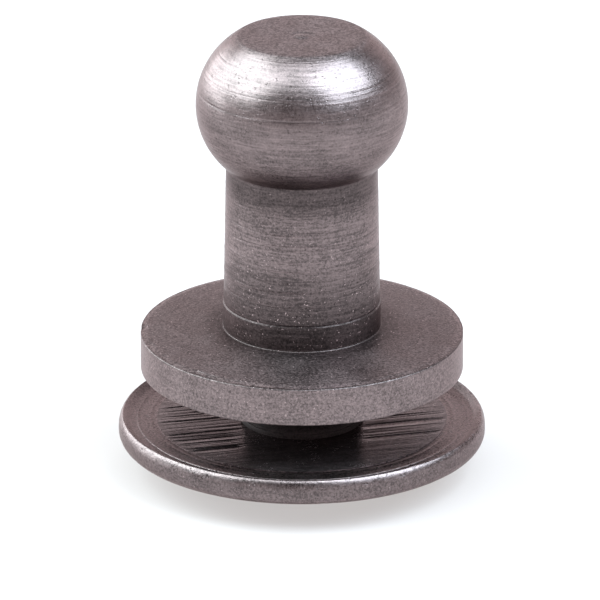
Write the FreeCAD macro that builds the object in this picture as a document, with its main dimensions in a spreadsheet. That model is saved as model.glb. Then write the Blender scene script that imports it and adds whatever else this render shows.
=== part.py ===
import FreeCAD, Part
import os
import Sketcher

# Screw-back ball stud for leather straps, standing on the domed head of its screw.
# Lengths are in millimetres, +Z is up and the turning axis is Z.
# Heights are counted from the lowest point of the dome before the slot is cut.

DRIVING = {
    # slotted screw: domed head
    "disc_radius": 6.12,
    "rim_thickness": 0.85,
    "rim_round": 0.38,
    "dome_height": 1.0,
    "slot_width": 1.45,
    "slot_depth": 1.2,
    "slot_overrun": 0.62,
    "recess_radius": 5.49,
    "recess_depth": 0.14,
    "seat_outer": 5.07,
    "seat_radius": 4.86,
    "seat_rise": 0.04,
    # slotted screw: shank
    "collar_radius": 2.06,
    "collar_height": 0.15,
    "shank_length": 7.0,
    "tip_flat": 1.525,
    "tip_drop": 0.45,
    "tip_round": 0.6,
    # thread, shared by the shank and the tapped hole
    "thread_radius": 2.0,
    "thread_pitch": 0.7,
    "thread_height": 0.4294,
    "crest_flat": 0.0875,
    "flank_slope": 0.57735,
    "radial_play": 0.05,
    "flank_play": 0.07,
    "cutter_overshoot": 0.05,
    "thread_clear": 0.35,
    # ball stud: flange and neck
    "leather_gap": 1.72,
    "flange_radius": 5.37,
    "flange_thickness": 1.30,
    "edge_break": 0.05,
    "flange_rise": 0.2,
    "foot_flare_radius": 2.75,
    "foot_flare_height": 0.12,
    "foot_radius": 2.62,
    "neck_low_radius": 2.60,
    "neck_top_radius": 2.51,
    "line_height": 1.08,
    "line_half": 0.05,
    # ball stud: ball
    "ball_arc_radius": 2.713,
    "ball_arc_offset": 0.788,
    "ball_above_flange": 7.97,
    "facet_above_flange": 10.34,
    # ball stud: tapped hole
    "bore_radius": 1.66,
    "bore_depth": 7.3,
    "tapped_depth": 7.0,
    "relief_radius": 2.12,
    "relief_depth": 0.8,
    "drill_point": 1.0,
    # ball core, a separate slug sealed inside the ball
    "core_radius": 2.0,
    "core_above_flange": 7.5,
    "core_height": 1.9,
    "core_play": 0.05,
}

DERIVED = {
    # slotted screw
    "rim_top": "=dome_height + rim_thickness",
    "rim_low": "=dome_height + rim_round",
    "rim_high": "=rim_top - rim_round",
    "ridge_radius": "=disc_radius - rim_round",
    "dome_radius": "=(ridge_radius^2 + dome_height^2) / (2 * dome_height)",
    "lip_rise": "=dome_radius - sqrt(dome_radius^2 - (slot_width / 2)^2)",
    "slot_length": "=2 * (disc_radius + slot_overrun)",
    "channel_top": "=rim_top - recess_depth",
    "seat_top": "=channel_top + seat_rise",
    "collar_top": "=seat_top + collar_height",
    "tip_top": "=seat_top + shank_length",
    "tip_start": "=tip_top - tip_drop",
    # outer thread: a groove cut into the shank
    "groove_start": "=collar_top + thread_clear",
    "groove_travel": "=tip_top - collar_top",
    "groove_root": "=thread_radius - thread_height",
    "groove_outer": "=thread_radius + cutter_overshoot",
    "crest_half": "=(thread_pitch - crest_flat) / 2",
    "root_half": "=crest_half - thread_height * flank_slope",
    "outer_half": "=crest_half + cutter_overshoot * flank_slope",
    "root_low": "=groove_start - root_half",
    "root_high": "=groove_start + root_half",
    "outer_low": "=groove_start - outer_half",
    "outer_high": "=groove_start + outer_half",
    # inner thread: the mating groove cut into the hole, half a pitch off the outer one
    "tap_start": "=groove_start - thread_pitch / 2",
    "tap_travel": "=flange_low + tapped_depth - tap_start",
    "tap_root": "=thread_radius + radial_play",
    "tap_inner": "=bore_radius - cutter_overshoot",
    "tap_root_half": "=crest_flat / 2 + flank_play - radial_play * flank_slope",
    "tap_inner_half": "=tap_root_half + (tap_root - tap_inner) * flank_slope",
    "tap_root_low": "=tap_start - tap_root_half",
    "tap_root_high": "=tap_start + tap_root_half",
    "tap_inner_low": "=tap_start - tap_inner_half",
    "tap_inner_high": "=tap_start + tap_inner_half",
    # ball stud
    "flange_low": "=rim_top + leather_gap",
    "flange_top": "=flange_low + flange_thickness",
    "flange_edge": "=flange_radius - edge_break",
    "flange_side_low": "=flange_low + edge_break",
    "flange_side_high": "=flange_top - edge_break",
    "flange_peak": "=flange_top + flange_rise",
    "flare_top": "=flange_peak + foot_flare_height",
    "line_middle": "=flange_top + line_height",
    "line_low": "=line_middle - line_half",
    "line_high": "=line_middle + line_half",
    "line_root": "=neck_low_radius - line_half",
    "ball_middle": "=flange_top + ball_above_flange",
    "facet_top": "=flange_top + facet_above_flange",
    "neck_top": "=ball_middle - sqrt(ball_arc_radius^2 - (neck_top_radius - ball_arc_offset)^2)",
    "facet_radius": "=ball_arc_offset + sqrt(ball_arc_radius^2 - (facet_top - ball_middle)^2)",
    "relief_top": "=flange_low + relief_depth",
    "relief_cone": "=relief_top + relief_radius - bore_radius",
    "bore_top": "=flange_low + bore_depth",
    "bore_point": "=bore_top + drill_point",
    # ball core
    "core_low": "=flange_top + core_above_flange",
    "core_top": "=core_low + core_height",
    "pocket_radius": "=core_radius + core_play",
    "pocket_low": "=core_low - core_play",
    "pocket_top": "=core_top + core_play",
}

# corner coordinates that lie on a sketch axis instead of holding a size
AXIS = "axis"
BASE = "base"

# sketch references: the two axes, the origin, and the ends of a line or arc
H_AXIS, V_AXIS = -1, -2
ORIGIN = (-1, 1)
START, END = 1, 2
FULL_TURN = 360


def make_sheet(doc):
    """The sheet of sizes: plain numbers first, then the sizes worked out from them."""
    sheet = doc.addObject("Spreadsheet::Sheet", "Sizes")
    cells = {alias: str(value) for alias, value in DRIVING.items()} | DERIVED
    for row, (alias, content) in enumerate(cells.items(), start=1):
        sheet.set(f"A{row}", alias)
        sheet.set(f"B{row}", content)
        sheet.setAlias(f"B{row}", alias)
    doc.recompute()
    return sheet


def plane(body, role):
    """One of the body's own origin planes."""
    return next(item for item in body.Origin.OriginFeatures if item.Role == role)


def new_sketch(body, name, role):
    sketch = body.newObject("Sketcher::SketchObject", name)
    sketch.AttachmentSupport = [(plane(body, role), "")]
    sketch.MapMode = "FlatFace"
    return sketch


def bind(sketch, constraint, alias):
    """Adds a constraint whose value is a cell of the sheet."""
    index = sketch.addConstraint(constraint)
    sketch.setExpression(f"Constraints[{index}]", f"Sizes.{alias}")


def flat_arc(start, end, radius):
    """The arc of this radius, at most a half turn, running anticlockwise from start to end."""
    chord = end - start
    depth = (radius**2 - chord.Length**2 / 4) ** 0.5
    left = FreeCAD.Vector(-chord.y, chord.x, 0).normalize()
    centre = (start + end) / 2 + left * depth
    middle = centre - left * radius
    return Part.Arc(start, middle, end)


def outline(body, name, sheet, corners):
    """A closed half-section in the XZ plane, with every corner held to the sheet.

    A corner is (radius cell, height cell), or AXIS or BASE where it lies on the turning axis
    or on the base line. A third item is the cell with the radius of the arc that leads from
    that corner to the next one, anticlockwise.
    """
    sketch = new_sketch(body, name, "XZ_Plane")
    points = [
        FreeCAD.Vector(
            0 if corner[0] == AXIS else getattr(sheet, corner[0]),
            0 if corner[1] == BASE else getattr(sheet, corner[1]),
            0,
        )
        for corner in corners
    ]
    for index, corner in enumerate(corners):
        start, end = points[index], points[(index + 1) % len(points)]
        if len(corner) == 3:
            sketch.addGeometry(flat_arc(start, end, getattr(sheet, corner[2])))
        else:
            sketch.addGeometry(Part.LineSegment(start, end))
    for index in range(len(corners)):
        before = (index - 1) % len(corners)
        sketch.addConstraint(Sketcher.Constraint("Coincident", before, END, index, START))
    for index, corner in enumerate(corners):
        if corner[0] == AXIS:
            sketch.addConstraint(Sketcher.Constraint("PointOnObject", index, START, V_AXIS))
        else:
            bind(sketch, Sketcher.Constraint("DistanceX", index, START, points[index].x), corner[0])
        if corner[1] == BASE:
            sketch.addConstraint(Sketcher.Constraint("PointOnObject", index, START, H_AXIS))
        else:
            bind(sketch, Sketcher.Constraint("DistanceY", index, START, points[index].y), corner[1])
        if len(corner) == 3:
            bind(sketch, Sketcher.Constraint("Radius", index, getattr(sheet, corner[2])), corner[2])
    return sketch


def turned(body, kind, name, sheet, corners):
    """A full turn of a half-section about Z: PartDesign::Revolution adds it, Groove cuts it."""
    sketch = outline(body, name + "Section", sheet, corners)
    feature = body.newObject(kind, name)
    feature.Profile = sketch
    feature.ReferenceAxis = (sketch, ["V_Axis"])
    feature.Angle = FULL_TURN
    sketch.Visibility = False
    return feature


def helical_groove(body, name, sheet, corners, travel):
    """A right-hand groove of one thread profile, wound up along Z over the travel cell."""
    sketch = outline(body, name + "Section", sheet, corners)
    groove = body.newObject("PartDesign::SubtractiveHelix", name)
    groove.Profile = sketch
    groove.ReferenceAxis = (sketch, ["V_Axis"])
    groove.Mode = "pitch-height-angle"
    groove.setExpression("Pitch", "Sizes.thread_pitch")
    groove.setExpression("Height", f"Sizes.{travel}")
    sketch.Visibility = False
    return groove


def centred_rectangle(body, name, sheet, length, width):
    """A rectangle in the XY plane about the origin, length along X."""
    sketch = new_sketch(body, name, "XY_Plane")
    half_x, half_y = getattr(sheet, length) / 2, getattr(sheet, width) / 2
    signs = [(-1, -1), (1, -1), (1, 1), (-1, 1)]
    points = [FreeCAD.Vector(x * half_x, y * half_y, 0) for x, y in signs]
    front, right, back, left = sides = range(len(points))
    for side in sides:
        sketch.addGeometry(Part.LineSegment(points[side], points[(side + 1) % len(points)]))
    for side in (front, back):
        sketch.addConstraint(Sketcher.Constraint("Horizontal", side))
    for side in (right, left):
        sketch.addConstraint(Sketcher.Constraint("Vertical", side))
    for side in sides:
        sketch.addConstraint(Sketcher.Constraint("Coincident", side, END, (side + 1) % len(points), START))
    sketch.addConstraint(Sketcher.Constraint("Symmetric", front, START, back, START, *ORIGIN))
    bind(sketch, Sketcher.Constraint("DistanceX", front, START, front, END, 2 * half_x), length)
    bind(sketch, Sketcher.Constraint("DistanceY", right, START, right, END, 2 * half_y), width)
    return sketch


def new_body(doc, label):
    """A body lowered so that the lips of the screwdriver slot stand on Z = 0."""
    body = doc.addObject("PartDesign::Body", label)
    body.Label = label
    body.setExpression("Placement.Base.z", "-Sizes.lip_rise")
    return body


def slotted_screw(doc, sheet):
    """Domed disc head with a slot right across it, and a threaded shank standing on its flat side."""
    body = new_body(doc, "slotted_screw")
    blank = turned(
        body,
        "PartDesign::Revolution",
        "ScrewBlank",
        sheet,
        [
            (AXIS, BASE, "dome_radius"),
            ("ridge_radius", "dome_height", "rim_round"),
            ("disc_radius", "rim_low"),
            ("disc_radius", "rim_high", "rim_round"),
            ("ridge_radius", "rim_top"),
            ("recess_radius", "channel_top"),
            ("seat_outer", "channel_top"),
            ("seat_radius", "seat_top"),
            ("collar_radius", "seat_top"),
            ("collar_radius", "collar_top"),
            ("thread_radius", "collar_top"),
            ("thread_radius", "tip_start", "tip_round"),
            ("tip_flat", "tip_top"),
            (AXIS, "tip_top"),
        ],
    )
    doc.recompute()
    thread = helical_groove(
        body,
        "ShankThread",
        sheet,
        [
            ("groove_root", "root_low"),
            ("groove_outer", "outer_low"),
            ("groove_outer", "outer_high"),
            ("groove_root", "root_high"),
        ],
        "groove_travel",
    )
    doc.recompute()
    slot = body.newObject("PartDesign::Pocket", "Slot")
    slot.Profile = centred_rectangle(body, "SlotOutline", sheet, "slot_length", "slot_width")
    slot.Reversed = True
    slot.setExpression("Length", "Sizes.slot_depth")
    doc.recompute()
    return body, [blank, thread, slot]


def ball_stud(doc, sheet):
    """Ball, neck and flange turned in one piece, with a tapped blind hole up from the flange."""
    body = new_body(doc, "ball_stud")
    blank = turned(
        body,
        "PartDesign::Revolution",
        "StudBlank",
        sheet,
        [
            (AXIS, "flange_low"),
            ("flange_edge", "flange_low"),
            ("flange_radius", "flange_side_low"),
            ("flange_radius", "flange_side_high"),
            ("flange_edge", "flange_top"),
            ("foot_flare_radius", "flange_peak"),
            ("foot_radius", "flare_top"),
            ("foot_radius", "line_low"),
            ("line_root", "line_middle"),
            ("neck_low_radius", "line_high"),
            ("neck_top_radius", "neck_top", "ball_arc_radius"),
            ("facet_radius", "facet_top"),
            (AXIS, "facet_top"),
        ],
    )
    doc.recompute()
    bore = turned(
        body,
        "PartDesign::Groove",
        "Bore",
        sheet,
        [
            (AXIS, "flange_low"),
            ("relief_radius", "flange_low"),
            ("relief_radius", "relief_top"),
            ("bore_radius", "relief_cone"),
            ("bore_radius", "bore_top"),
            (AXIS, "bore_point"),
        ],
    )
    doc.recompute()
    thread = helical_groove(
        body,
        "BoreThread",
        sheet,
        [
            ("tap_inner", "tap_inner_low"),
            ("tap_root", "tap_root_low"),
            ("tap_root", "tap_root_high"),
            ("tap_inner", "tap_inner_high"),
        ],
        "tap_travel",
    )
    doc.recompute()
    pocket = turned(
        body,
        "PartDesign::Groove",
        "CorePocket",
        sheet,
        [
            (AXIS, "pocket_low"),
            ("pocket_radius", "pocket_low"),
            ("pocket_radius", "pocket_top"),
            (AXIS, "pocket_top"),
        ],
    )
    doc.recompute()
    return body, [blank, bore, thread, pocket]


def ball_core(doc, sheet):
    """The round slug that lies loose in the sealed pocket of the ball."""
    body = new_body(doc, "ball_core")
    slug = turned(
        body,
        "PartDesign::Revolution",
        "Slug",
        sheet,
        [
            (AXIS, "core_low"),
            ("core_radius", "core_low"),
            ("core_radius", "core_top"),
            (AXIS, "core_top"),
        ],
    )
    doc.recompute()
    return body, [slug]


def check(doc, built):
    """Every object must have worked, and every cut must have taken something away."""
    for item in doc.Objects:
        if {"Invalid", "Error"} & set(item.State):
            raise RuntimeError(f"{item.Label} did not build: {item.State}")
    for body, features in built:
        volumes = [feature.Shape.Volume for feature in features]
        if body.Shape.isNull() or not body.Shape.isValid() or len(body.Shape.Solids) != 1:
            raise RuntimeError(f"{body.Label} is not one valid solid")
        if any(after >= before for before, after in zip(volumes, volumes[1:])):
            raise RuntimeError(f"{body.Label} has a cut that removes nothing: {volumes}")
        print(body.Label, [round(volume, 2) for volume in volumes], body.Shape.BoundBox)


def main():
    doc = FreeCAD.newDocument("BallStud")
    sheet = make_sheet(doc)
    built = [slotted_screw(doc, sheet), ball_stud(doc, sheet), ball_core(doc, sheet)]
    doc.recompute()
    check(doc, built)
    os.makedirs("parts", exist_ok=True)
    for body, _ in built:
        body.Shape.exportStep(f"parts/{body.Label}.step")


main()
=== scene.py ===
import math
import random

import bmesh
import bpy
import numpy as np
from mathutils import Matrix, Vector


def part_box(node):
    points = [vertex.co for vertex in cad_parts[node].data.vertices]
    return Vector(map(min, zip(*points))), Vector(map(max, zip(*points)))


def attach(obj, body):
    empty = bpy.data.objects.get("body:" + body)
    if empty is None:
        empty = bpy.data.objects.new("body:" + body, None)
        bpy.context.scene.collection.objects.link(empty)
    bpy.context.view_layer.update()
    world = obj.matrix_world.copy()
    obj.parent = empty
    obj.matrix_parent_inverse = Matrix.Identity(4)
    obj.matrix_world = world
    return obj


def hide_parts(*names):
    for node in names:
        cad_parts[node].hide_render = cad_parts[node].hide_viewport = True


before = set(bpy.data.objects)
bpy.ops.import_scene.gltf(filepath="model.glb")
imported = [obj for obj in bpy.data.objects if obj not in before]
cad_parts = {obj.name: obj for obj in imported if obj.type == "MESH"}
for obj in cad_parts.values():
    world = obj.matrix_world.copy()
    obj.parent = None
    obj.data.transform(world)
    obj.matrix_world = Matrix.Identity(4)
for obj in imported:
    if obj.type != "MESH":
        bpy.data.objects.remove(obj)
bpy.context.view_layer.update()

# ---------------------------------------------------------------- sizes, in millimetres
MM = 0.001
screw_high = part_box("slotted_screw")[1]
stud_low, stud_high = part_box("ball_stud")

DISC_RADIUS = screw_high.x / MM
TIP_TOP = screw_high.z / MM
FLANGE_RADIUS = stud_high.x / MM
FLANGE_LOW = stud_low.z / MM
FACET_TOP = stud_high.z / MM

LEATHER_GAP = 1.67
RIM_THICKNESS = 0.90
RIM_ROUND = 0.38
DOME_HEIGHT = 1.0
SLOT_WIDTH = 1.45
SLOT_DEPTH = 1.2
RIM_TOP = FLANGE_LOW - LEATHER_GAP
RIM_LOW = RIM_TOP - RIM_THICKNESS
DOME_LOW = RIM_LOW - DOME_HEIGHT
RIDGE_RADIUS = DISC_RADIUS - RIM_ROUND
RECESS_RADIUS = 5.49
RECESS_DEPTH = 0.19
SEAT_OUTER = 5.07
SEAT_RADIUS = 4.86
SEAT_RISE = 0.04
SEAT_TOP = RIM_TOP - RECESS_DEPTH + SEAT_RISE
COLLAR_RADIUS = 2.06
COLLAR_HEIGHT = 0.15
COLLAR_TOP = SEAT_TOP + COLLAR_HEIGHT

THREAD_RADIUS = 2.0
THREAD_PITCH = 0.7
THREAD_HEIGHT = 0.4294
CREST_HALF = 0.30625
FLANK_SLOPE = 0.57735
RADIAL_PLAY = 0.05
FLANK_PLAY = 0.07
GROOVE_START = COLLAR_TOP + THREAD_PITCH / 2
TIP_FLAT = 1.525
TIP_DROP = 0.45
BORE_RADIUS = 1.66
BORE_DEPTH = 7.3
TAPPED_DEPTH = 7.0
RELIEF_RADIUS = 2.12
RELIEF_DEPTH = 0.8
DRILL_POINT = 1.0

FLANGE_THICKNESS = 1.35
FLANGE_TOP = FLANGE_LOW + FLANGE_THICKNESS
FLANGE_RISE = 0.15
FOOT_TOP = FLANGE_TOP + FLANGE_RISE
FOOT_RADIUS = 2.62
NECK_TOP_RADIUS = 2.51
LINE_HEIGHT = 1.03
FOOT_LINE = FLANGE_TOP + LINE_HEIGHT
BALL_ARC_RADIUS = 2.713
BALL_ARC_OFFSET = 0.788
BALL_HEIGHT = 7.92
BALL_MIDDLE = FLANGE_TOP + BALL_HEIGHT

SEGMENTS = 256
ANGLES = np.linspace(0.0, 2.0 * math.pi, SEGMENTS, endpoint=False)
# random angles are drawn over nearly a full turn
TURN = 6.28
# edges that bend more than this stay sharp, in degrees
SHARP_ANGLE = 35


# ---------------------------------------------------------------- outlines
def straight(start, end, step):
    """Points of a straight run from start to end, about step apart, both ends included."""
    start, end = np.array(start, float), np.array(end, float)
    count = max(1, round(float(np.linalg.norm(end - start)) / step))
    return start + (end - start) * np.linspace(0, 1, count + 1)[:, None]


def arc(centre, radius, first, last, step):
    """Points of an arc about centre, from angle first to last in degrees, about step apart."""
    count = max(2, round(abs(math.radians(last - first)) * radius / step))
    turn = np.radians(np.linspace(first, last, count + 1))
    return np.stack([centre[0] + radius * np.cos(turn), centre[1] + radius * np.sin(turn)], 1)


def bend(start, turns, step):
    """Convex arcs that follow on from start, each (radius, normal's first and last elevation)."""
    runs = []
    for radius, first, last in turns:
        turn = math.radians(first)
        centre = (start[0] - radius * math.cos(turn), start[1] - radius * math.sin(turn))
        runs.append(arc(centre, radius, first, last, step))
        start = runs[-1][-1]
    return chain(*runs)


def chain(*runs):
    """One outline from runs that follow on, without the points that repeat."""
    points = np.concatenate(runs)
    gaps = np.linalg.norm(np.diff(points, axis=0), axis=1)
    return points[np.concatenate([[True], gaps > 1e-6])]


def outline_length(outline):
    """How long an outline is from its first point to its last."""
    return float(np.linalg.norm(np.diff(outline, axis=0), axis=1).sum())


def fade(draw, least):
    """A smooth factor round the axis, from least to 1, that differs from call to call."""
    wave = sum(draw.uniform(0.3, 1.0) * np.cos(k * ANGLES + draw.uniform(0, TURN)) for k in (1, 2, 3, 5))
    return least + (1 - least) / (1 + np.exp(-2.2 * wave))


def tool_marks(draw, count, place, half, depth, least, signs=()):
    """Random tool lines for turned_rows.

    place and depth are (low, high) ranges, half is a range or one half-width, least is the least
    factor round the axis, and signs are factors on the depth, picked at random.
    """
    marks = []
    for _ in range(count):
        at = draw.uniform(*place)
        half_width = draw.uniform(*half) if isinstance(half, tuple) else half
        sign = draw.choice(signs) if signs else 1.0
        marks.append((at, half_width, sign * draw.uniform(*depth), fade(draw, least)))
    return marks


def random_dents(draw, count, place, reach, depth):
    """Random dents for turned_rows, from (low, high) ranges."""
    return [
        (draw.uniform(*place), draw.uniform(0, TURN), draw.uniform(*reach), draw.uniform(*depth))
        for _ in range(count)
    ]


def turned_rows(outline, marks=(), dents=()):
    """Rings of an outline turned about Z.

    marks are tool lines, (place along the outline, half-width, depth, factor round the axis).
    dents are (place along the outline, angle, reach, depth). A negative depth stands proud.
    """
    length = np.concatenate([[0], np.cumsum(np.linalg.norm(np.diff(outline, axis=0), axis=1))])
    places = set(np.round(length, 5))
    for place, half, _, _ in marks:
        places |= {round(place + half * k, 5) for k in (-2, -1.2, -0.6, 0, 0.6, 1.2, 2)}
    along = np.array(sorted(p for p in places if 0 <= p <= length[-1]))
    along = along[np.concatenate([[True], np.diff(along) > 0.004])]
    radius, height = np.interp(along, length, outline[:, 0]), np.interp(along, length, outline[:, 1])
    run = np.gradient(np.stack([radius, height], 1), along, axis=0)
    run /= np.linalg.norm(run, axis=1)[:, None]
    depth = np.zeros((len(along), SEGMENTS))
    for place, half, cut, factor in marks:
        depth += cut * np.exp(-(((along - place) / half) ** 2))[:, None] * factor
    for place, angle, reach, cut in dents:
        away = (ANGLES - angle + math.pi) % (2 * math.pi) - math.pi
        reach_angle = reach / np.interp(place, length, outline[:, 0])
        lengthwise = np.exp(-(((along - place) / reach) ** 2))[:, None]
        depth += cut * lengthwise * np.exp(-((away / reach_angle) ** 2))
    return radius[:, None] - run[:, 1:2] * depth, height[:, None] + run[:, 0:1] * depth


def thread_rows(low, high, start, corners, limit, runout):
    """Rings of a right-hand thread from low to high.

    corners is one pitch of the thread, (height from the groove's middle, radius).
    limit(height, radius) trims the radius at the ends, and runout(height, radius) fades the thread in.
    """
    offsets = np.array([c[0] for c in corners])
    radii = np.array([c[1] for c in corners])
    first = math.floor((low - start) / THREAD_PITCH) - 2
    last = math.ceil((high - start) / THREAD_PITCH) + 2
    fine = np.linspace(0, 1, 4, endpoint=False)
    steps = np.concatenate([near + (far - near) * fine for near, far in zip(offsets, offsets[1:])])
    rows = np.concatenate([start + THREAD_PITCH * turn + steps for turn in range(first, last)])
    height = np.clip(rows[:, None] + THREAD_PITCH * ANGLES / (2 * math.pi), low, high)
    used = (height.max(1) > low) & (height.min(1) < high)
    height = height[used]
    phase = (height - start) / THREAD_PITCH - ANGLES / (2 * math.pi)
    radius = np.interp((phase - np.floor(phase)) * THREAD_PITCH, offsets - offsets[0], radii)
    return limit(height, runout(height, radius)), height


def linked(name, data):
    """A new object in the scene that holds data."""
    made = bpy.data.objects.new(name, data)
    bpy.context.scene.collection.objects.link(made)
    return made


def closed_mesh(name, work):
    """A new object from a bmesh of closed faces, which it uses up."""
    bmesh.ops.recalc_face_normals(work, faces=work.faces)
    mesh = bpy.data.meshes.new(name)
    work.to_mesh(mesh)
    work.free()
    return linked(name, mesh)


def ring_mesh(name, parts):
    """A closed mesh, in millimetres, from (radius, height) rings that follow on."""
    radius = np.concatenate([p[0] for p in parts])
    height = np.concatenate([p[1] for p in parts])
    rows = len(radius)
    points = np.stack([radius * np.cos(ANGLES), radius * np.sin(ANGLES), height], 2).reshape(-1, 3)
    index = np.arange(rows * SEGMENTS).reshape(rows, SEGMENTS)
    beside = np.roll(index, -1, axis=1)
    faces = np.stack([index[:-1], beside[:-1], beside[1:], index[1:]], 2).reshape(-1, 4)
    mesh = bpy.data.meshes.new(name)
    mesh.from_pydata(points.tolist(), [], faces.tolist())
    work = bmesh.new()
    work.from_mesh(mesh)
    bmesh.ops.remove_doubles(work, verts=work.verts, dist=1e-4)
    bmesh.ops.dissolve_degenerate(work, edges=work.edges, dist=1e-5)
    bmesh.ops.recalc_face_normals(work, faces=work.faces)
    work.to_mesh(mesh)
    work.free()
    return linked(name, mesh)


def finished(piece, body, material, node=None):
    """Turns a piece from millimetres into metres, smooths it and puts it on its body."""
    mesh = piece.data
    mesh.transform(((MM, 0, 0, 0), (0, MM, 0, 0), (0, 0, MM, 0), (0, 0, 0, 1)))
    mesh.polygons.foreach_set("use_smooth", [True] * len(mesh.polygons))
    mesh.set_sharp_from_angle(angle=math.radians(SHARP_ANGLE))
    mesh.materials.clear()
    mesh.materials.append(material)
    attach(piece, body)
    if node:
        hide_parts(node)


# ---------------------------------------------------------------- materials
class Nodes:
    """Builds one material's node tree."""

    def __init__(self, name):
        self.material = bpy.data.materials.new(name)
        self.material.use_nodes = True
        self.tree = self.material.node_tree
        self.shader = self.tree.nodes["Principled BSDF"]

    def add(self, kind, inputs=None, **settings):
        node = self.tree.nodes.new(kind)
        for key, value in settings.items():
            setattr(node, key, value)
        for key, value in (inputs or {}).items():
            self.feed(node.inputs[key], value)
        return node

    def feed(self, socket, value):
        if isinstance(value, bpy.types.NodeSocket):
            self.tree.links.new(value, socket)
        else:
            socket.default_value = value

    def math(self, operation, first, second=0.0, third=0.0):
        node = self.add("ShaderNodeMath", {0: first, 1: second, 2: third}, operation=operation)
        return node.outputs[0]

    def ramp(self, value, low, high, out_low=0.0, out_high=1.0):
        """A smooth step from out_low to out_high as the value goes from low to high."""
        inputs = {"Value": value, "From Min": low, "From Max": high}
        inputs.update({"To Min": out_low, "To Max": out_high})
        return self.add("ShaderNodeMapRange", inputs, interpolation_type="SMOOTHSTEP").outputs[0]

    def mix(self, factor, first, second):
        node = self.add("ShaderNodeMix", {0: factor}, data_type="RGBA")
        self.feed(node.inputs[6], first)
        self.feed(node.inputs[7], second)
        return node.outputs[2]

    def noise(self, vector, scale, detail, rough, w=None):
        inputs = {"Vector": vector, "Scale": scale, "Detail": detail, "Roughness": rough}
        node = self.add("ShaderNodeTexNoise", inputs, noise_dimensions="3D" if w is None else "4D")
        if w is not None:
            self.feed(node.inputs["W"], w)
        return node.outputs["Fac"]

    def weighted(self, *terms):
        """The sum of value times weight over the (value, weight) terms."""
        total = 0.0
        for value, weight in terms:
            total = self.math("MULTIPLY_ADD", value, weight, total)
        return total

    def vector(self, x, y, z):
        return self.add("ShaderNodeCombineXYZ", {0: x, 1: y, 2: z}).outputs[0]

    def profile(self, value, stops):
        """A factor that runs straight from stop to stop, each (value, factor up to 2)."""
        low, high = stops[0][0], stops[-1][0]
        share = self.add("ShaderNodeMapRange", {"Value": value, "From Min": low, "From Max": high})
        node = self.add("ShaderNodeValToRGB", {0: share.outputs[0]})
        points = node.color_ramp.elements
        while len(points) < len(stops):
            points.new(0.5)
        for point, (at, factor) in zip(points, stops):
            point.position = (at - low) / (high - low)
            point.color = (factor / 2, factor / 2, factor / 2, 1.0)
        return self.math("MULTIPLY", node.outputs[0], 2.0)


# each layer of lines: how fast it changes along the lines and across them, and its detail
LATHE_LAYERS = {"fine": (1.6, 16.0, 3.0), "broad": (0.9, 4.5, 2.0), "streak": (8.0, 15.0, 3.0)}
GROUND_LAYERS = {"fine": (0.25, 14.0, 3.0), "broad": (0.12, 4.0, 2.0), "streak": (1.5, 9.0, 4.0)}
LINE_ROUGHNESS = 0.6
# the radius is held above this at the axis, where the lines would meet
LEAST_RADIUS = 0.02
SILVER_TINT = (0.93, 0.84, 0.84, 1.0)


def lathe_lines(n, axes, radius, reach, pitch, detail):
    """Lines that run round Z: noise that changes fast with height and radius, slowly with angle."""
    around_x, around_y = n.math("DIVIDE", axes[0], radius), n.math("DIVIDE", axes[1], radius)
    place = n.vector(
        n.math("MULTIPLY", around_x, reach),
        n.math("MULTIPLY", around_y, reach),
        n.math("MULTIPLY", axes[2], pitch),
    )
    return n.noise(place, 1.0, detail, LINE_ROUGHNESS, n.math("MULTIPLY", radius, pitch))


def ground_lines(n, axes, angle, reach, pitch, detail):
    """Straight lines at an angle to X, in the XY plane."""
    turn = math.radians(angle)
    along = n.weighted((axes[0], math.cos(turn)), (axes[1], math.sin(turn)))
    across = n.weighted((axes[0], -math.sin(turn)), (axes[1], math.cos(turn)))
    place = n.vector(n.math("MULTIPLY", along, reach), n.math("MULTIPLY", across, pitch), 0.0)
    return n.noise(place, 1.0, detail, LINE_ROUGHNESS)


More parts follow.
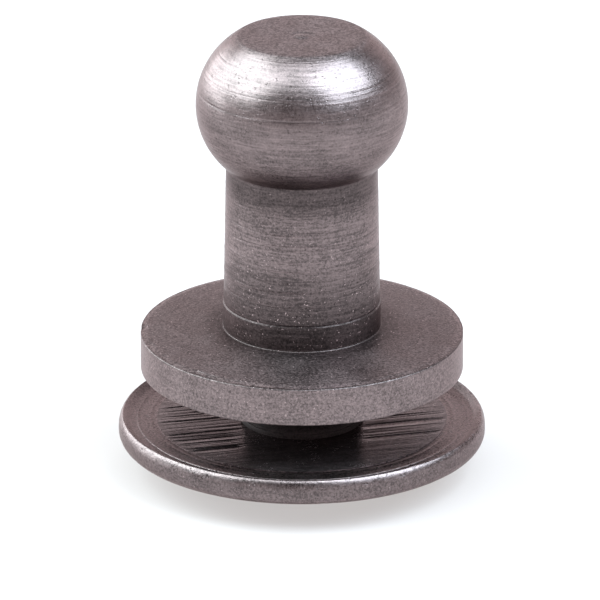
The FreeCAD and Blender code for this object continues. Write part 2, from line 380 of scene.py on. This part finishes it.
def antique_metal(name, dark, light, wear_and_shade, line_depth, grain_depth, angle=None, metallic=1.0):
    """Antique silver: turned lines, a fine cast-like grain, tarnish in patches, bright specks.

    The profiles are (height, factor) lists: the first scales the colour, under 1 where shade is painted in
    and over 1 where it is lighter, speckle is how mottled the colour is, shine how bright the specks are,
    rough the roughness, and lines how strong the lines are. line_depth and grain_depth are the
    relief's depths in millimetres. angle makes the lines straight grinding marks, at an angle to
    X, instead of turned ones. metallic is under 1 where dirt fills the surface.
    """
    n = Nodes(name)
    coordinates = n.add("ShaderNodeTexCoord").outputs
    to_mm = {0: coordinates["Object"], "Scale": 1 / MM}
    place = n.add("ShaderNodeVectorMath", to_mm, operation="SCALE").outputs[0]
    axes = n.add("ShaderNodeSeparateXYZ", {0: place}).outputs
    radius = n.math("SQRT", n.weighted((axes[0], axes[0]), (axes[1], axes[1])))
    radius = n.math("MAXIMUM", radius, LEAST_RADIUS)
    upright = n.math("ABSOLUTE", n.add("ShaderNodeSeparateXYZ", {0: coordinates["Normal"]}).outputs[2])
    lines = n.profile(axes[2], wear_and_shade["lines"])
    if angle is None:
        layers = {k: lathe_lines(n, axes, radius, *scales) for k, scales in LATHE_LAYERS.items()}
        lines = n.math("MULTIPLY", lines, n.ramp(upright, 0.75, 0.98, 1.0, 0.3))
    else:
        layers = {k: ground_lines(n, axes, angle, *scales) for k, scales in GROUND_LAYERS.items()}
    layers = {k: n.math("MULTIPLY", n.math("SUBTRACT", v, 0.5), lines) for k, v in layers.items()}
    fine, broad, streak = layers["fine"], layers["broad"], layers["streak"]
    grain = n.math("SUBTRACT", n.noise(place, scale=13.0, detail=3.0, rough=0.8), 0.5)
    patches = n.math("SUBTRACT", n.noise(place, scale=0.9, detail=3.0, rough=0.55), 0.5)
    pits = n.ramp(n.noise(place, scale=8.0, detail=1.0, rough=0.5), 0.66, 0.74)
    specks = n.ramp(n.noise(place, scale=16.0, detail=0.0, rough=0.5), 0.75, 0.82)
    specks = n.math("MULTIPLY", specks, n.profile(axes[2], wear_and_shade["shine"]))

    speckle = n.math("MULTIPLY", grain, n.profile(axes[2], wear_and_shade["speckle"]))
    speckle = n.math("MULTIPLY", speckle, n.ramp(upright, 0.8, 0.98, 1.0, 1.8))
    tone = n.weighted(
        (speckle, 1.0), (streak, 0.7), (fine, 0.8), (broad, 0.28), (patches, 0.4), (1.0, 0.5)
    )
    colour = n.mix(n.ramp(tone, 0.15, 0.85), (*dark, 1.0), (*light, 1.0))
    colour = n.mix(n.math("MULTIPLY", pits, 0.5), colour, (*(c * 0.45 for c in dark), 1.0))
    # scales the colour by height: painted shade where the profile is under 1
    painted_shade_and_wear = {0: colour, "Scale": n.profile(axes[2], wear_and_shade["painted_shade_and_wear"])}
    colour = n.add("ShaderNodeVectorMath", painted_shade_and_wear, operation="SCALE").outputs[0]
    colour = n.mix(n.math("MULTIPLY", specks, 0.7), colour, (*(min(1.0, c * 2.0) for c in light), 1.0))
    n.feed(n.shader.inputs["Base Color"], colour)
    n.shader.inputs["Metallic"].default_value = metallic
    n.shader.inputs["Specular Tint"].default_value = SILVER_TINT
    rough = n.profile(axes[2], wear_and_shade["rough"])
    n.feed(n.shader.inputs["Roughness"], n.weighted((rough, 1.0), (grain, 0.25), (patches, 0.2)))

    relief = n.weighted((fine, line_depth), (broad, line_depth * 2), (streak, line_depth * 0.7))
    relief = n.weighted((relief, 1.0), (grain, grain_depth), (pits, -grain_depth))
    bump = n.add("ShaderNodeBump", {"Strength": 1.0, "Distance": MM, "Height": relief})
    n.feed(n.shader.inputs["Normal"], bump.outputs[0])
    return n.material


# ---------------------------------------------------------------- colours and wear
# each metal's dark and light tone
SILVER = ((0.105, 0.086, 0.086), (0.30, 0.237, 0.238))
# the seat under the flange is a darker copy of the silver: painted shade
SHADED_SEAT_SILVER = ((0.055, 0.044, 0.045), (0.19, 0.155, 0.158))
STEEL = ((0.30, 0.29, 0.28), (0.45, 0.44, 0.43))

# the flange's side and the ball keep about their full colour. Painted shade and painted reflection darken
# the foot of the neck, the corner under the ball and the flange's top towards the neck; a band of painted
# shade lies in the fine line under the flange's edge, and the bevel just above it is a little lighter
STUD_WEAR_AND_SHADE = {
    "painted_shade_and_wear": [
        (FLANGE_LOW, 1.01),
        (FLANGE_TOP - 0.11, 1.01),
        (FLANGE_TOP - 0.08, 0.42),
        (FLANGE_TOP - 0.05, 0.42),
        (FLANGE_TOP - 0.04, 1.1),
        (FLANGE_TOP, 1.0),
        (FLANGE_TOP + 0.01, 0.84),
        (FOOT_TOP - 0.03, 0.74),
        (FOOT_TOP, 0.36),
        (FOOT_TOP + 0.15, 0.40),
        (FOOT_LINE - 0.05, 0.38),
        (FOOT_LINE + 0.05, 0.43),
        (FOOT_LINE + 1.3, 0.64),
        (FOOT_LINE + 2.3, 0.93),
        (BALL_MIDDLE - 3.2, 0.82),
        (BALL_MIDDLE - 2.7, 0.46),
        (BALL_MIDDLE - 2.05, 0.42),
        (BALL_MIDDLE - 1.6, 0.68),
        (BALL_MIDDLE - 1.1, 0.86),
        (BALL_MIDDLE, 0.95),
        (FACET_TOP - 0.1, 1.0),
        (FACET_TOP - 0.04, 0.96),
        (FACET_TOP, 1.02),
    ],
    "speckle": [
        (FLANGE_LOW, 1.9),
        (FOOT_LINE, 1.7),
        (FACET_TOP - 3.8, 1.5),
        (FACET_TOP - 2.8, 0.9),
        (FACET_TOP - 0.1, 0.8),
        (FACET_TOP, 1.8),
    ],
    "shine": [
        (FLANGE_LOW, 0.5),
        (FLANGE_TOP, 1.0),
        (FOOT_LINE, 1.3),
        (FOOT_LINE + 3.0, 0.5),
        (FACET_TOP, 0.1),
    ],
    "rough": [
        (FLANGE_LOW, 0.38),
        (FLANGE_TOP - 0.04, 0.38),
        (FLANGE_TOP + 0.01, 0.45),
        (FOOT_TOP, 0.45),
        (FOOT_TOP + 0.1, 0.36),
        (BALL_MIDDLE - 2.0, 0.34),
        (FACET_TOP - 0.1, 0.31),
        (FACET_TOP - 0.02, 0.44),
    ],
    "lines": [
        (FLANGE_LOW, 0.35),
        (FOOT_TOP, 0.35),
        (FOOT_TOP + 0.1, 0.8),
        (FOOT_LINE + 1.0, 1.3),
        (FACET_TOP - 3.0, 0.85),
        (FACET_TOP, 0.6),
    ],
}
# the rim's side and the recess inside its crest are painted darker than the dome and the crest: painted
# shade and painted reflection
HEAD_WEAR_AND_SHADE = {
    "painted_shade_and_wear": [
        (DOME_LOW, 1.0),
        (RIM_LOW, 0.9),
        (RIM_TOP - 0.4, 0.76),
        (RIM_TOP - 0.3, 0.80),
        (RIM_TOP - 0.2, 0.95),
        (RIM_TOP - 0.1, 0.85),
        (RIM_TOP - 0.01, 1.0),
    ],
    "speckle": [(DOME_LOW, 1.5), (RIM_TOP, 1.6)],
    "shine": [(DOME_LOW, 0.3), (RIM_TOP, 0.6)],
    "rough": [(DOME_LOW, 0.42), (RIM_LOW, 0.40), (RIM_TOP - RIM_ROUND, 0.34), (RIM_TOP, 0.30)],
    "lines": [(DOME_LOW, 0.5), (RIM_TOP, 0.4)],
}
# painted shade: the shank is painted near-black at its root, where the gap under the flange is
SHANK_WEAR_AND_SHADE = {
    "painted_shade_and_wear": [(SEAT_TOP, 0.25), (FLANGE_LOW, 0.45), (FLANGE_TOP, 0.8), (TIP_TOP, 1.1)],
    "speckle": [(SEAT_TOP, 1.5), (TIP_TOP, 1.5)],
    "shine": [(SEAT_TOP, 0.0), (TIP_TOP, 0.4)],
    "rough": [(SEAT_TOP, 0.70), (FLANGE_LOW, 0.60), (FLANGE_TOP, 0.38), (TIP_TOP, 0.34)],
    "lines": [(SEAT_TOP, 0.5), (TIP_TOP, 0.5)],
}
SEAT_WEAR = {
    "painted_shade_and_wear": [(DOME_LOW, 1.0), (RIM_TOP, 1.0)],
    "speckle": [(DOME_LOW, 1.5), (RIM_TOP, 1.5)],
    "shine": [(DOME_LOW, 0.5), (RIM_TOP, 0.5)],
    "rough": [(DOME_LOW, 0.22), (RIM_TOP, 0.22)],
    "lines": [(DOME_LOW, 1.7), (RIM_TOP, 1.7)],
}


# ---------------------------------------------------------------- ball stud
STUD_SEED = 11
FLANGE_CORNER = 0.06
FLANGE_BEVEL = 0.22
EDGE_NICKS = 70
SIDE_DENTS = 120
TOP_MARKS = 12
FOOT_RING = 2.95
FOOT_FILLET = 0.035
NECK_MARKS = 34
BALL_MARKS = 26
CENTRE_MARK = 0.72


def stud_bore():
    """Rings of the blind hole, down from its drill point to the relief at its mouth."""
    tapped_end = FLANGE_LOW + TAPPED_DEPTH
    bore_end = FLANGE_LOW + BORE_DEPTH
    relief_end = FLANGE_LOW + RELIEF_DEPTH + RELIEF_RADIUS
    drilled = chain(
        straight((0, bore_end + DRILL_POINT), (BORE_RADIUS, bore_end), 0.4),
        straight((BORE_RADIUS, bore_end), (BORE_RADIUS, tapped_end + 0.02), 0.2),
    )
    radius, height = thread_rows(
        FLANGE_LOW,
        tapped_end,
        GROOVE_START - THREAD_PITCH / 2,
        bore_profile(),
        lambda height, radius: np.maximum(radius, np.minimum(RELIEF_RADIUS, relief_end - height)),
        lambda height, radius: radius,
    )
    return [turned_rows(drilled), (radius[::-1], height[::-1])]


def flange_side(draw):
    """Rings of the flange's side: a fine line runs under its nicked upper edge, darkened by painted shade.
    """
    line_radius = FLANGE_RADIUS - 0.015
    side = chain(
        arc((FLANGE_RADIUS - FLANGE_CORNER, FLANGE_LOW + FLANGE_CORNER), FLANGE_CORNER, -85, 0, 0.03),
        straight((FLANGE_RADIUS, FLANGE_LOW + 0.07), (FLANGE_RADIUS, FLANGE_TOP - 0.09), 0.12),
        straight((line_radius, FLANGE_TOP - 0.075), (FLANGE_RADIUS - 0.02, FLANGE_TOP - 0.06), 0.02),
        straight((line_radius, FLANGE_TOP - 0.05), (FLANGE_RADIUS - FLANGE_BEVEL, FLANGE_TOP), 0.03),
    )
    length = outline_length(side)
    nicks = random_dents(
        draw, EDGE_NICKS, place=(length, length - 0.25), reach=(0.08, 0.22), depth=(-0.008, 0.020)
    )
    dents = random_dents(
        draw, SIDE_DENTS, place=(0.1, length - 0.2), reach=(0.06, 0.16), depth=(0.004, 0.012)
    )
    return turned_rows(side, dents=nicks + dents)


def flange_top(draw):
    """Rings of the flange's slightly conical top, in to the turned groove round the foot."""
    top = chain(
        straight((FLANGE_RADIUS - FLANGE_BEVEL - 0.02, FLANGE_TOP), (FOOT_RING, FOOT_TOP - 0.012), 0.18),
        straight((FOOT_RING - 0.03, FOOT_TOP - 0.015), (FOOT_RING - 0.09, FOOT_TOP - 0.014), 0.03),
        straight((FOOT_RING - 0.15, FOOT_TOP - 0.002), (FOOT_RADIUS + 0.04, FOOT_TOP + 0.002), 0.03),
    )
    marks = tool_marks(draw, TOP_MARKS, place=(0.1, 2.3), half=0.025, depth=(0.001, 0.005), least=0.0)
    return turned_rows(top, marks)


def neck_rows(draw, neck_top):
    """Rings of the neck: the foot's small fillet, the turned line and the taper to the ball."""
    neck = chain(
        arc((FOOT_RADIUS + FOOT_FILLET, FOOT_TOP + FOOT_FILLET + 0.002), FOOT_FILLET, -95, -180, 0.02),
        straight((FOOT_RADIUS, FOOT_TOP + 0.1), (FOOT_RADIUS, FOOT_LINE - 0.06), 0.12),
        straight((FOOT_RADIUS, FOOT_LINE - 0.05), (FOOT_RADIUS - 0.022, FOOT_LINE - 0.01), 0.02),
        straight((FOOT_RADIUS - 0.03, FOOT_LINE + 0.01), (FOOT_RADIUS - 0.02, FOOT_LINE + 0.05), 0.02),
        straight((FOOT_RADIUS - 0.02, FOOT_LINE + 0.06), (NECK_TOP_RADIUS, neck_top - 0.03), 0.12),
    )
    marks = tool_marks(
        draw,
        NECK_MARKS,
        place=(1.4, outline_length(neck) - 0.1),
        half=(0.018, 0.035),
        depth=(0.004, 0.012),
        least=0.1,
        signs=(-0.6, 1.0),
    )
    return turned_rows(neck, marks)


def ball_rows(draw, low_angle):
    """Rings of the ball, up from low_angle, and of its flat with the lathe's centre mark."""
    high_angle = math.degrees(math.asin((FACET_TOP - BALL_MIDDLE) / BALL_ARC_RADIUS))
    facet_radius = BALL_ARC_OFFSET + BALL_ARC_RADIUS * math.cos(math.radians(high_angle))
    ball = chain(
        arc((BALL_ARC_OFFSET, BALL_MIDDLE), BALL_ARC_RADIUS, low_angle + 0.6, high_angle - 0.7, 0.13),
        straight((facet_radius - 0.02, FACET_TOP), (CENTRE_MARK, FACET_TOP - 0.008), 0.25),
        straight((CENTRE_MARK - 0.04, FACET_TOP - 0.010), (0.40, FACET_TOP - 0.014), 0.06),
        straight((0.36, FACET_TOP - 0.034), (0.24, FACET_TOP - 0.022), 0.04),
        straight((0.18, FACET_TOP + 0.008), (0.0, FACET_TOP + 0.032), 0.04),
    )
    length = math.radians(high_angle - low_angle) * BALL_ARC_RADIUS
    marks = tool_marks(
        draw,
        BALL_MARKS,
        place=(0.3, length - 0.2),
        half=(0.018, 0.03),
        depth=(0.0015, 0.006),
        least=0.0,
        signs=(-0.5, 1.0),
    )
    # one more line a little above the ball's widest place
    marks.append((length * 0.56, 0.03, 0.006, fade(draw, 0.2)))
    return turned_rows(ball, marks)


def ball_stud():
    """The ball, neck and flange, with the tapped hole up from below, as one closed surface."""
    draw = random.Random(STUD_SEED)
    neck_top = BALL_MIDDLE - math.sqrt(BALL_ARC_RADIUS**2 - (NECK_TOP_RADIUS - BALL_ARC_OFFSET) ** 2)
    ball_low = math.degrees(math.asin((neck_top - BALL_MIDDLE) / BALL_ARC_RADIUS))
    under = straight((RELIEF_RADIUS + 0.02, FLANGE_LOW), (FLANGE_RADIUS - 0.09, FLANGE_LOW), 0.35)
    rows = [
        *stud_bore(),
        turned_rows(under),
        flange_side(draw),
        flange_top(draw),
        neck_rows(draw, neck_top),
        ball_rows(draw, ball_low),
    ]
    return ring_mesh("turned_stud", rows)


def bore_profile():
    """One pitch of the tapped hole's thread, from the middle of one groove to the next."""
    root = THREAD_PITCH / 2 - CREST_HALF + FLANK_PLAY - RADIAL_PLAY * FLANK_SLOPE
    outer = THREAD_RADIUS + RADIAL_PLAY
    crest = root + (outer - BORE_RADIUS) * FLANK_SLOPE
    return [
        (-root, outer),
        (root, outer),
        (crest, BORE_RADIUS),
        (THREAD_PITCH - crest, BORE_RADIUS),
        (THREAD_PITCH - root, outer),
    ]


def shank_profile():
    """One pitch of the shank's thread, from the middle of one groove to the next."""
    root = CREST_HALF - THREAD_HEIGHT * FLANK_SLOPE
    inner = THREAD_RADIUS - THREAD_HEIGHT
    return [
        (-root, inner),
        (root, inner),
        (CREST_HALF, THREAD_RADIUS),
        (THREAD_PITCH - CREST_HALF, THREAD_RADIUS),
        (THREAD_PITCH - root, inner),
    ]


# ---------------------------------------------------------------- slotted screw
HEAD_SEED = 5
DOME_MARKS = 22
RIM_DENTS = 260
# the rim's rounded crest starts this far under its top; arcs of (radius, first and last elevation)
RIM_CREST = 0.378
RIM_CREST_ARCS = [(0.6, 0, 28), (0.3, 28, 52)]
SLOT_REACH = 7.0
SLOT_START = -1.0
LIP_SIZE = 0.06
LIP_REACH = RIDGE_RADIUS + 0.3
LIP_RINGS = 49


def recess_outline(crest_radius, crest_height):
    """The recessed face, in from the rim's crest over two turned rings to under the shank."""
    channel = RIM_TOP - RECESS_DEPTH
    return chain(
        straight((crest_radius - 0.01, crest_height - 0.007), (crest_radius - 0.25, channel + 0.012), 0.06),
        straight((crest_radius - 0.28, channel + 0.003), (RECESS_RADIUS + 0.06, channel + 0.001), 0.08),
        straight((RECESS_RADIUS + 0.02, channel + 0.003), (RECESS_RADIUS, channel + 0.018), 0.02),
        straight((RECESS_RADIUS - 0.03, channel + 0.016), (RECESS_RADIUS - 0.07, channel), 0.02),
        straight((RECESS_RADIUS - 0.12, channel), (SEAT_OUTER + 0.05, channel + 0.006), 0.08),
        straight((SEAT_OUTER, channel + 0.024), (SEAT_OUTER - 0.05, channel + 0.022), 0.03),
        straight((SEAT_OUTER - 0.08, channel + 0.01), (SEAT_RADIUS + 0.02, channel + 0.012), 0.05),
        straight((SEAT_RADIUS, SEAT_TOP - 0.02), (0.0, SEAT_TOP - 0.02), 0.4),
    )


def domed_head():
    """The screw's disc: a dome with the slot cut into it, a rounded rim and a recessed face."""
    draw = random.Random(HEAD_SEED)
    dome_radius = (RIDGE_RADIUS**2 + DOME_HEIGHT**2) / (2 * DOME_HEIGHT)
    sweep = math.degrees(math.asin(RIDGE_RADIUS / dome_radius))
    dome = arc((0, DOME_LOW + dome_radius), dome_radius, -90, -90 + sweep, 0.16)
    rim = chain(
        arc((RIDGE_RADIUS, RIM_LOW + RIM_ROUND), RIM_ROUND, -84, 0, 0.05),
        bend((DISC_RADIUS, RIM_TOP - RIM_CREST), RIM_CREST_ARCS, 0.02),
    )
    dome_marks = tool_marks(
        draw, DOME_MARKS, place=(0.4, 5.4), half=0.03, depth=(0.001, 0.005), least=0.1
    )
    rim_dents = random_dents(
        draw, RIM_DENTS, place=(0.15, outline_length(rim)), reach=(0.05, 0.14), depth=(0.003, 0.014)
    )
    rows = [
        turned_rows(dome, dome_marks),
        turned_rows(rim, dents=rim_dents),
        turned_rows(recess_outline(*rim[-1])),
    ]
    head = ring_mesh("domed_head", rows)
    cut_slot(head, dome_radius)
    return head


def cut_slot(head, dome_radius):
    """Cuts the screwdriver slot right across the dome, along X, and breaks its lips."""
    low = (-SLOT_REACH, -SLOT_WIDTH / 2, SLOT_START)
    high = (SLOT_REACH, SLOT_WIDTH / 2, DOME_LOW + SLOT_DEPTH)
    cutters = [box_mesh("slot_cutter", low, high)]
    cutters += [lip_cutter(side * SLOT_WIDTH / 2, dome_radius) for side in (-1, 1)]
    for cutter in cutters:
        cut = head.modifiers.new("cut", "BOOLEAN")
        cut.operation = "DIFFERENCE"
        cut.solver = "EXACT"
        cut.object = cutter
        evaluated = head.evaluated_get(bpy.context.evaluated_depsgraph_get())
        mesh = bpy.data.meshes.new_from_object(evaluated)
        head.modifiers.clear()
        head.data = mesh
        bpy.data.objects.remove(cutter)


def box_mesh(name, low, high):
    """A box between two corners."""
    work = bmesh.new()
    for vert in bmesh.ops.create_cube(work, size=1.0)["verts"]:
        vert.co = Vector([low[k] + (high[k] - low[k]) * (vert.co[k] + 0.5) for k in range(3)])
    return closed_mesh(name, work)


def lip_cutter(middle, dome_radius):
    """A slender square bar, on edge, that follows the slot's lip at y = middle over the dome."""
    work = bmesh.new()
    rings = []
    for x in np.linspace(-LIP_REACH, LIP_REACH, LIP_RINGS):
        z = DOME_LOW + dome_radius - math.sqrt(dome_radius**2 - x * x - middle * middle)
        ring = [
            work.verts.new((x, middle + LIP_SIZE * across, z + LIP_SIZE * up))
            for across, up in ((-1, 0), (0, -1), (1, 0), (0, 1))
        ]
        rings.append(ring)
    for near, far in zip(rings, rings[1:]):
        for k in range(4):
            work.faces.new((near[k], near[(k + 1) % 4], far[(k + 1) % 4], far[k]))
    work.faces.new(rings[0])
    work.faces.new(rings[-1])
    return closed_mesh("lip_cutter", work)


SHANK_SINK = 0.06
RUNOUT_START = 0.04
RUNOUT_LENGTH = 0.3
DIMPLE_RADIUS = 0.3
DIMPLE_DEPTH = 0.12


def threaded_shank():
    """The shank: a plain root ring, the thread and the rounded tip, closed inside the head."""
    start = SEAT_TOP - SHANK_SINK
    root = chain(
        straight((0.0, start), (COLLAR_RADIUS, start), 0.7),
        straight((COLLAR_RADIUS, start), (COLLAR_RADIUS, COLLAR_TOP - 0.03), 0.06),
        straight((COLLAR_RADIUS - 0.02, COLLAR_TOP), (THREAD_RADIUS + 0.01, COLLAR_TOP), 0.03),
    )
    tip = chain(
        straight((TIP_FLAT - 0.25, TIP_TOP), (DIMPLE_RADIUS, TIP_TOP), 0.3),
        straight((DIMPLE_RADIUS, TIP_TOP), (0.0, TIP_TOP - DIMPLE_DEPTH), 0.1),
    )

    def rounded(height, radius):
        drop = np.clip((height - (TIP_TOP - TIP_DROP)) / TIP_DROP, 0, 1)
        return np.minimum(radius, THREAD_RADIUS - (THREAD_RADIUS - TIP_FLAT) * (1 - np.sqrt(1 - drop**2)))

    def runout(height, radius):
        grown = np.clip((height - COLLAR_TOP - RUNOUT_START) / RUNOUT_LENGTH, 0, 1)
        return THREAD_RADIUS + (radius - THREAD_RADIUS) * grown

    thread = thread_rows(COLLAR_TOP, TIP_TOP, GROOVE_START, shank_profile(), rounded, runout)
    return ring_mesh("threaded_shank", [turned_rows(root), thread, turned_rows(tip)])


GRIND_SEED = 3
GRIND_ANGLE = 14.0
GRIND_ROWS = 260
GRIND_COLUMNS = 40
GRIND_STROKES = 190
STROKE_DEPTH = 0.026
PLATE_MARGIN = 0.02
PLATE_THICKNESS = 0.1
# the strokes fade in over these widths from the plate's edge and from a plain band as wide as
# the shank, which runs from front to back
EDGE_FADE = 0.25
BAND_HALF = 1.9
BAND_FADE = 0.4


def ground_seat():
    """The disc's flat face, a thin plate ground in straight strokes that stop beside the shank."""
    draw = random.Random(GRIND_SEED)
    turn = math.radians(GRIND_ANGLE)
    reach = SEAT_RADIUS - PLATE_MARGIN
    strokes = [
        (
            draw.uniform(-2.6, reach),
            draw.uniform(0.02, 0.05),
            draw.uniform(-0.4, 1.0) * STROKE_DEPTH,
            draw.uniform(-4, 4),
            draw.uniform(1.2, 4.5),
        )
        for _ in range(GRIND_STROKES)
    ]

    def ground(across, along):
        """How deep the strokes are; a negative depth is a ridge."""
        return sum(
            cut * math.exp(-(((across - at) / width) ** 2)) * math.exp(-(((along - middle) / length) ** 4))
            for at, width, cut, middle, length in strokes
            if abs(across - at) < 3 * width
        )

    work = bmesh.new()
    top, low = [], []
    for across in np.linspace(-reach + PLATE_MARGIN, reach - PLATE_MARGIN, GRIND_ROWS):
        half = math.sqrt(reach**2 - across**2)
        row_top, row_low = [], []
        for step in np.linspace(-1, 1, GRIND_COLUMNS + 1):
            along = half * math.sin(step * math.pi / 2)
            x = along * math.cos(turn) - across * math.sin(turn)
            y = along * math.sin(turn) + across * math.cos(turn)
            beside = max(0.0, (abs(x) - BAND_HALF) / BAND_FADE)
            shown = min(1.0, (half - abs(along)) / EDGE_FADE, beside)
            row_top.append(work.verts.new((x, y, SEAT_TOP - ground(across, along) * shown)))
            row_low.append(work.verts.new((x, y, SEAT_TOP - PLATE_THICKNESS)))
        top.append(row_top)
        low.append(row_low)
    for a in range(GRIND_ROWS - 1):
        for b in range(GRIND_COLUMNS):
            work.faces.new((top[a][b], top[a][b + 1], top[a + 1][b + 1], top[a + 1][b]))
            work.faces.new((low[a][b], low[a + 1][b], low[a + 1][b + 1], low[a][b + 1]))
        work.faces.new((top[a][0], top[a + 1][0], low[a + 1][0], low[a][0]))
        work.faces.new((top[a][-1], low[a][-1], low[a + 1][-1], top[a + 1][-1]))
    for b in range(GRIND_COLUMNS):
        work.faces.new((top[0][b], low[0][b], low[0][b + 1], top[0][b + 1]))
        work.faces.new((top[-1][b], top[-1][b + 1], low[-1][b + 1], low[-1][b]))
    return closed_mesh("ground_seat", work)


# ---------------------------------------------------------------- stage
CAMERA_ELEVATION = 21.27
CAMERA_DISTANCE = 0.2565
CAMERA_AIM = Vector((-0.063, 0, FLANGE_TOP + 0.995))
CAMERA_LENS = 463.3
CAMERA_SENSOR = 36
# metres: the lights face this height on the axis
LIGHT_AIM = 0.01
# azimuth and elevation in degrees, distance, width and height in metres, power, colour
SOFTBOXES = {
    "left_softbox": (-92, 43, 0.4, 0.46, 0.32, 3.3, (0.82, 0.98, 1.0)),
    "rear_left_softbox": (-122, 11, 0.4, 0.40, 0.16, 1.05, (0.83, 0.98, 1.0)),
    "top_softbox": (0, 70, 0.4, 0.34, 0.26, 1.15, (0.84, 0.98, 1.03)),
    "right_softbox": (70, 49, 0.4, 0.38, 0.30, 3.1, (0.80, 0.98, 1.08)),
    "backdrop": (180, 22, 0.5, 0.80, 0.36, 0.52, (1.0, 0.93, 0.94)),
}
# how high the direction points, from 0 at the horizon, and the surroundings' colour there
SURROUNDINGS = [(0.05, (0.70, 0.65, 0.66, 1)), (0.40, (0.24, 0.215, 0.22, 1))]
FLOOR_HALF = 1.5
FLOOR_COLOUR = (0.26, 0.24, 0.24, 1)
FLOOR_GLOW_COLOUR = (1.0, 0.97, 0.96, 1)
FLOOR_GLOW = 0.5
FLOOR_ROUGHNESS = 0.9


def face(made, away, aim, distance):
    """Puts a camera or a light at a distance from aim along away, and turns it to face aim."""
    made.location = aim + away * distance
    made.rotation_mode = "QUATERNION"
    made.rotation_quaternion = (-away).to_track_quat("-Z", "Y")


def camera():
    """A long lens that looks 21 degrees down at a point a little above the flange."""
    elevation = math.radians(CAMERA_ELEVATION)
    away = Vector((0, -math.cos(elevation), math.sin(elevation)))
    made = linked("camera", bpy.data.cameras.new("camera"))
    made.data.lens = CAMERA_LENS
    made.data.sensor_width = CAMERA_SENSOR
    made.data.clip_start, made.data.clip_end = 0.01, 10
    face(made, away, CAMERA_AIM * MM, CAMERA_DISTANCE)
    bpy.context.scene.camera = made


def softbox(name, azimuth, elevation, distance, width, height, power, colour):
    """An area light; azimuth 0 is the camera's side, 90 the right."""
    a, e = math.radians(azimuth), math.radians(elevation)
    away = Vector((math.sin(a) * math.cos(e), -math.cos(a) * math.cos(e), math.sin(e)))
    light = bpy.data.lights.new(name, "AREA")
    light.shape = "RECTANGLE"
    light.size, light.size_y = width, height
    light.energy = power
    light.color = colour
    made = linked(name, light)
    face(made, away, Vector((0, 0, LIGHT_AIM)), distance)
    made.visible_camera = False


def studio():
    """The softboxes, and surroundings that are lighter at the horizon."""
    for name, setting in SOFTBOXES.items():
        softbox(name, *setting)
    world = bpy.data.worlds.new("studio")
    world.use_nodes = True
    bpy.context.scene.world = world
    tree = world.node_tree
    place = tree.nodes.new("ShaderNodeTexCoord")
    axes = tree.nodes.new("ShaderNodeSeparateXYZ")
    ramp = tree.nodes.new("ShaderNodeValToRGB")
    tree.links.new(place.outputs["Generated"], axes.inputs[0])
    tree.links.new(axes.outputs[2], ramp.inputs[0])
    for point, (position, colour) in zip(ramp.color_ramp.elements, SURROUNDINGS):
        point.position = position
        point.color = colour
    tree.links.new(ramp.outputs[0], tree.nodes["Background"].inputs[0])
    tree.nodes["Background"].inputs[1].default_value = 1.0


def floor():
    """A plain pale floor that glows a little, as a light table does."""
    mesh = bpy.data.meshes.new("floor")
    corners = [(x * FLOOR_HALF, y * FLOOR_HALF, 0) for x, y in ((-1, -1), (1, -1), (1, 1), (-1, 1))]
    mesh.from_pydata(corners, [], [(0, 1, 2, 3)])
    n = Nodes("pale_floor")
    n.shader.inputs["Base Color"].default_value = FLOOR_COLOUR
    n.shader.inputs["Emission Color"].default_value = FLOOR_GLOW_COLOUR
    n.shader.inputs["Emission Strength"].default_value = FLOOR_GLOW
    n.shader.inputs["Roughness"].default_value = FLOOR_ROUGHNESS
    mesh.materials.append(n.material)
    linked("floor", mesh)


camera()
studio()
floor()
bpy.context.scene.view_settings.view_transform = "Standard"

stud_metal = antique_metal("stud_silver", *SILVER, STUD_WEAR_AND_SHADE, line_depth=0.0034, grain_depth=0.0040)
head_metal = antique_metal("head_silver", *SILVER, HEAD_WEAR_AND_SHADE, line_depth=0.0020, grain_depth=0.0080)
shank_metal = antique_metal(
    "shank_silver", *SILVER, SHANK_WEAR_AND_SHADE, line_depth=0.0010, grain_depth=0.0040, metallic=0.6
)
# the seat plate takes the darker silver, painted shade under the flange
shaded_seat_metal = antique_metal(
    "shaded_seat_silver",
    *SHADED_SEAT_SILVER,
    SEAT_WEAR,
    line_depth=0.0030,
    grain_depth=0.0020,
    angle=GRIND_ANGLE,
    metallic=0.85,
)
# the sealed core never shows, so it borrows the seat's even wear
core_metal = antique_metal("core_steel", *STEEL, SEAT_WEAR, line_depth=0.0020, grain_depth=0.0010)

finished(ball_stud(), "stud", stud_metal, "ball_stud")
finished(domed_head(), "screw", head_metal, "slotted_screw")
finished(threaded_shank(), "screw", shank_metal)
finished(ground_seat(), "screw", shaded_seat_metal)
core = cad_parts["ball_core"]
core.data.materials.clear()
core.data.materials.append(core_metal)
